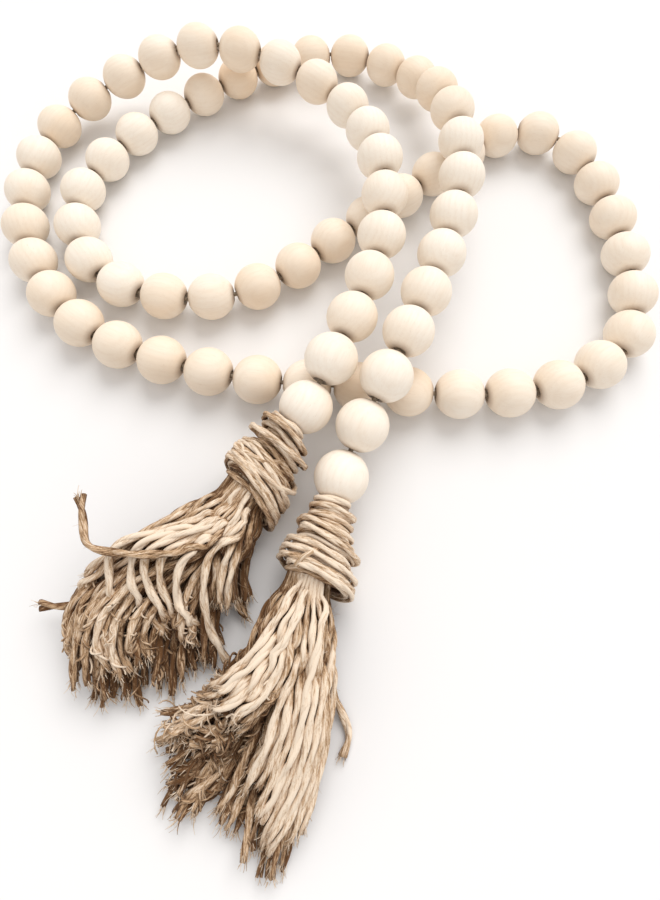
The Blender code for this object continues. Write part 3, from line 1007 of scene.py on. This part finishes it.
# Strand paths: cubic curves from the neck's disc, along the head, past their lock's place and to
# its tips, with a slow wave across them that grows towards the tip, and a curl at it
def skirtPaths(side, head, chance):
    shape = skirtShape
    by, tip, counts, spread, tone, curl = map(np.array, zip(*skirts[side]["locks"]))
    owner = np.repeat(np.arange(len(counts)), counts)
    count = len(owner)
    by, tip, spread = by[owner] * mm, tip[owner] * mm, spread[owner, None] * mm
    tone, curl = tone[owner], curl[owner]
    neck = inHead(head, 0, 0, headShape["length"])
    sideways, upward = (tip - neck) @ head["across"] / mm, (by - neck) @ head["upward"] / mm
    wanted = np.stack([sideways, upward], -1) / shape["rootSpan"]
    wanted = wanted + chance.normal(0, shape["rootChance"], (count, 2))
    root = spreadRoots(wanted, shape).T
    inner = inHead(head, *(root * shape["rootLead"]), shape["rootDepth"])
    root = inHead(head, *root, headShape["length"])
    number = np.concatenate([np.arange(strands) for strands in counts])
    # Strands fill their lock's round as seeds do a flower's, each a golden angle from the last
    turn = number * math.pi * (3 - math.sqrt(5)) + chance.uniform(0, shape["turnChance"], count)
    ring = np.sqrt((number + 0.5) / counts[owner])
    forward = unit(tip - by)
    cross, lift = levelPair(forward)
    offset = spread * ring[:, None] * circle(turn, cross, lift)
    stretch = chance.uniform(*shape["lengthChance"], (count, 1)) * shape["lengthSpread"] * mm
    tip = tip + offset + forward * stretch
    by = by + shape["spreadByPass"] * offset
    reach = np.linalg.norm(by - root, axis=1, keepdims=True)
    first = root + head["along"] * reach * shape["straightShare"]
    a, b, c, d = cubicShares(shape["passShare"])
    second = (by - a * root - b * first - d * tip) / c
    t = np.linspace(0, 1, shape["strandSteps"])[:, None]
    controls = zip(cubicShares(t), (root, first, second, tip))
    paths = sum(share * point[:, None] for share, point in controls)
    begin = chance.uniform(0, math.tau, (2, count, 1, 1))
    speed = chance.uniform(*shape["waveSpeed"], (2, count, 1, 1))
    grown = t**1.5 * shape["wave"] * mm
    cross = cross[:, None]
    paths = paths + cross * grown * np.sin(math.tau * speed[0] * t + begin[0])
    grown = up * grown * shape["waveLift"]
    paths = paths + grown * np.sin(math.tau * speed[1] * t + begin[1])
    swirl = math.tau * (shape["curlSpeed"] + speed[1]) * t + begin[0] + begin[1]
    swirl = cross * np.sin(swirl) + shape["curlLift"] * up * np.cos(swirl)
    late = rise(t, *shape["curlRise"]) ** 1.5
    paths = paths + (curl * mm)[:, None, None] * late * swirl
    lead = np.linspace(0, 1, shape["leadSteps"], endpoint=False)[:, None]
    paths = np.concatenate([inner[:, None] * (1 - lead) + root[:, None] * lead, paths], axis=1)
    return paths, tone, curl


# Paths through given points, read at even lengths
def lonePaths(head, rows, steps):
    inside = inHead(head, 0, skirtShape["loneRise"], skirtShape["rootDepth"])
    paths = []
    for _, points in rows:
        points = np.vstack([inside, np.array(points) * mm])
        curve = smoothCurves(points[None], skirtShape["loneSteps"])
        length = pathLengths(curve)[0]
        wanted = np.linspace(0, length[-1], steps)
        paths.append(np.stack([np.interp(wanted, length, line) for line in curve[0].T], -1))
    return np.array(paths)


# Strands thicken from the neck on and thin out at their cut ends, where the plies open. Their tone
# is their lock's with a random part, less the painted shade from the strands over them, and darker
# at the cut end as painted shade
def makeSkirt(side, head):
    skirt, shape = skirts[side], skirtShape
    chance = np.random.default_rng(skirt["seed"])
    paths, tone, curl = skirtPaths(side, head, chance)
    inLocks = len(paths)
    paths = np.concatenate([paths, lonePaths(head, skirt["lone"], paths.shape[1])])
    tone = np.append(tone, [loneTone for loneTone, _ in skirt["lone"]])[:, None]
    count = len(paths)
    isLock = (np.arange(count) < inLocks)[:, None]
    paths = pushApart(paths, shape, np.where(isLock, *shape["smooth"])[..., None])
    cover = coverOver(paths, shape)
    paths = smoothCurves(paths, shape["finer"])
    keepUp(paths, twine["radius"] * mm * shape["thick"])
    steps = paths.shape[1]
    chord = unit(paths[:, -1] - paths[:, shape["chordFrom"]])
    sideways = np.broadcast_to(unit(np.cross(chord, up))[:, None], paths.shape)
    share = np.linspace(0, 1, steps)
    end = rise(share, *shape["endRise"])
    opened = 1 + end**1.5 * chance.uniform(*shape["opened"], (count, 1))
    fromNeck = rise(share, *shape["thickRise"])
    thick = shape["neckThick"] + (shape["thick"] - shape["neckThick"]) * fromNeck
    thick = thick * (1 - shape["taper"] * end**2 * isLock)
    shade = np.repeat(cover, shape["finer"], axis=1)[:, :steps] * shape["coverShade"]
    spread = chance.uniform(-1, 1, (count, 1)) * shape["toneSpread"]
    tones = np.clip(tone + spread - shape["tipShade"] * end - shade, 0, 1)
    outward = np.broadcast_to(up, paths.shape)
    name, node = side + "TasselStrands", f"tassel_{side}"
    addTwine(name, node, paths, sideways, outward, tones, chance, thick, opened)
    makeFibres(side, paths, chance)
    makeYarns(side, paths[:inLocks], curl, tones[:, shape["yarnStep"]], chance)


# Fine tubes of jute, each with its own piece of fibre and a random part of its tone
def addTubes(side, name, paths, radii, sideways, tone, shape, chance):
    count, steps = paths.shape[:2]
    sides, lengths = shape["sides"], pathLengths(paths)
    points = carryRings(paths, radii, sides, np.broadcast_to(sideways, paths.shape))
    offsets = fibreOffsets(chance, count)
    places = fibrePlaces(lengths, shape["fibreRadius"], sides, offsets, shape["fibreTurn"])
    tones = np.clip(tone + chance.uniform(*shape["tone"], count), 0, 1)
    tones = np.repeat(tones, points.shape[1])
    faces = ringFaces(count, steps, sides)
    addJutePiece(side + name, f"tassel_{side}", points, faces, places, tones)


# Yarns that the curled ends come apart into, in millimetres
yarnShape = {
    "fromCurl": 1.2,  # strands that curl less than this stay whole
    "perCurl": 8,  # yarns of a strand for each millimetre that it curls
    "steps": 12,
    "sides": 4,
    "radius": (0.30, 0.56),
    "thinner": 0.5,  # share of the radius lost at the tip
    "startShare": (0.58, 0.94),  # along the strand
    "length": (3.5, 7.0),
    "forward": 0.8,  # share of the length that follows the strand
    "paceSteps": 4,  # steps of the strand's end that its pace is taken from
    "aimSteps": 5,
    "startSwing": 0.6,  # of the twine's radius
    "swing": (0.8, 2.0),
    "fullCurl": 1.8,  # the curl at which a yarn has its whole swing
    "turns": (0.3, 0.9),
    "drift": 1.0,
    "tilt": 0.1,
    "fibreRadius": 0.3,
    "fibreTurn": 10.0,
    "tone": (-0.22, 0.22),  # beside its strand's
}


# Each yarn follows its strand's end for a few millimetres while it swings away from it in a
# widening screw, and thins out
def makeYarns(side, paths, curl, tone, chance):
    shape = yarnShape
    curled = np.flatnonzero(curl >= shape["fromCurl"])
    strand = np.repeat(curled, (curl[curled] * shape["perCurl"]).astype(int))
    total, steps = len(strand), paths.shape[1]
    share = np.linspace(0, 1, shape["steps"])
    pace, tip = shape["paceSteps"], paths[strand, -1]
    spacing = np.linalg.norm(tip - paths[strand, -1 - pace], axis=-1) / pace
    length = chance.uniform(*shape["length"], total) * mm
    begin = chance.uniform(*shape["startShare"], total) * (steps - 1)
    place = begin[:, None] + share * (length / spacing)[:, None] * shape["forward"]
    whole = np.clip(place.astype(int), 0, steps - 2)
    beyond = (place - whole)[..., None]
    rows = strand[:, None]
    route = paths[rows, whole] * (1 - beyond) + paths[rows, whole + 1] * beyond
    forward = unit(tip - paths[strand, -1 - shape["aimSteps"]])
    across, lift = levelPair(forward)
    angle = chance.uniform(0, math.tau, (total, 1))
    turns = chance.uniform(*shape["turns"], (total, 1)) * chance.choice([-1, 1], (total, 1))
    angle = angle + math.tau * turns * share
    swing = chance.uniform(*shape["swing"], (total, 1)) * share**1.3
    swing = (twine["radius"] * shape["startSwing"] + swing) * mm
    swing = swing * (curl[strand] / shape["fullCurl"])[:, None]
    yarns = route + swing[..., None] * circle(angle, across[:, None], lift[:, None])
    drift = chance.uniform(-1, 1, (total, 1, 3)) * shape["drift"] * mm
    yarns = yarns + drift * (share**2)[:, None]
    radii = chance.uniform(*shape["radius"], (total, 1)) * (1 - shape["thinner"] * share) * mm
    keepUp(yarns, 2 * radii)
    sideways = unit(np.cross(forward, up + shape["tilt"]))[:, None]
    addTubes(side, "TasselYarns", yarns, radii, sideways, tone[strand], shape, chance)


# Fibres that stand off the strands, and the tufts at their cut ends, in millimetres
fibreShape = {
    "perStrand": 8,
    "perTip": 14,
    "steps": 5,
    "sides": 3,
    "radius": 0.055,
    "tipRadius": 0.13,
    "radiusChance": (0.7, 1.4),
    "thinner": 0.6,
    "length": (1.2, 3.6),
    "tipLength": (0.9, 2.8),
    "fromStep": 10,
    "tipSteps": 3,
    "tipLean": (1.8, 4.6),  # how far it leans along the strand
    "lean": (-2.2, 2.2),
    "startOff": 0.7,  # of the twine's radius
    "bend": (0.1, 0.5),
    "fibreRadius": 0.1,
    "fibreTurn": 10.0,
    "tone": (0.4, 0.9),
}


# A random direction square to each given one
def squareTo(directions, chance):
    return unit(np.cross(directions, unit(chance.normal(size=directions.shape))))


# Each fibre is a thin tube from a place on a strand, its path a line plus a bend that grows with
# the square of the way. Those that start near the table point upwards
def makeFibres(side, paths, chance):
    shape = fibreShape
    count, steps = paths.shape[:2]
    forward = unit(np.gradient(paths, axis=1))
    perEach = shape["perStrand"] + shape["perTip"]
    strand = np.repeat(np.arange(count), perEach)
    total = len(strand)
    isTip = np.tile(np.arange(perEach) >= shape["perStrand"], count)
    tipStep = steps - 1 - chance.integers(0, shape["tipSteps"], total)
    step = chance.integers(shape["fromStep"], steps - shape["tipSteps"], total)
    step = np.where(isTip, tipStep, step)
    away = unit(chance.normal(size=(total, 3)))
    tipLean, lean = (chance.uniform(*shape[key], total) for key in ("tipLean", "lean"))
    lean = np.where(isTip, tipLean, lean)[:, None]
    direction = unit(away + lean * forward[strand, step])
    start = paths[strand, step] + away * mm * twine["radius"] * shape["startOff"]
    tipLength, length = (chance.uniform(*shape[key], total) for key in ("tipLength", "length"))
    reach = (np.where(isTip, tipLength, length) * mm)[:, None, None]
    nearTable = start[:, 2] < reach[:, 0, 0]
    direction[:, 2] = np.where(nearTable, np.abs(direction[:, 2]), direction[:, 2])
    bend = squareTo(direction, chance)[:, None] * chance.uniform(*shape["bend"], (total, 1, 1))
    share = np.linspace(0, 1, shape["steps"])[:, None]
    fibres = start[:, None] + reach * (direction[:, None] * share + bend * share**2)
    keepUp(fibres, 2 * shape["tipRadius"] * mm)
    thick = np.where(isTip, shape["tipRadius"], shape["radius"])[:, None] * mm
    radii = thick * (1 - shape["thinner"] * share[:, 0])
    radii = radii * chance.uniform(*shape["radiusChance"], (total, 1))
    sideways = squareTo(direction, chance)[:, None]
    addTubes(side, "TasselFibres", fibres, radii, sideways, 0, shape, chance)


for side, head in heads.items():
    makeCore(side, head)
    makeWindings(side, head)
    makeSkirt(side, head)
    print(side, "tassel: done")


# Floor and light: a white table, soft light from all round and a large soft light from behind
studio = {
    "floorSize": 6.0,
    "floorDrop": 0.0001,
    "floorColour": (0.854, 0.852, 0.854, 1),
    "floorMottle": ((1, 1, 1), 3.0, 1.0),
    "mottleTint": 0.985,
    "floorFixed": {"Roughness": 0.7, "Specular IOR Level": 0.2},
    "worldColour": (1.0, 0.97, 0.95, 1),
    "worldStrength": 0.77,
    "sunFrom": (0.30, 0.75, 1.0),
    "sunSpread": 46.0,  # degrees across
    "sunStrength": 1.90,
    "sunColour": (1.0, 0.985, 0.97),
}


def addStudio(setup):
    half = setup["floorSize"] / 2
    turns = ((-1, -1), (1, -1), (1, 1), (-1, 1))
    corners = [(half * east, half * north, -setup["floorDrop"]) for east, north in turns]
    mesh = bpy.data.meshes.new("tableTop")
    mesh.from_pydata(corners, [], [(0, 1, 2, 3)])
    material, tree, shader = newMaterial("whiteTable", setup["floorFixed"])
    place = addNode(tree, "ShaderNodeTexCoord", {}).outputs["Object"]
    mottle = addStreaks(tree, place, *setup["floorMottle"])
    tint = tuple(value * setup["mottleTint"] for value in setup["floorColour"][:3]) + (1,)
    feed(tree, shader.inputs["Base Color"], addMix(tree, mottle, setup["floorColour"], tint))
    mesh.materials.append(material)
    floor = bpy.data.objects.new("tableTop", mesh)
    bpy.context.collection.objects.link(floor)
    world = bpy.data.worlds.new("studio")
    bpy.context.scene.world = world
    world.use_nodes = True
    background = world.node_tree.nodes["Background"]
    background.inputs["Color"].default_value = setup["worldColour"]
    background.inputs["Strength"].default_value = setup["worldStrength"]
    light = bpy.data.lights.new("softSun", "SUN")
    light.angle = math.radians(setup["sunSpread"])
    light.energy = setup["sunStrength"]
    light.color = setup["sunColour"]
    lamp = bpy.data.objects.new("softSun", light)
    east, north, high = setup["sunFrom"]
    lamp.rotation_euler = (math.atan2(math.hypot(east, north), high), 0, math.atan2(east, -north))
    bpy.context.collection.objects.link(lamp)
    bpy.context.scene.view_settings.view_transform = "Standard"


addStudio(studio)
print("studio: done")
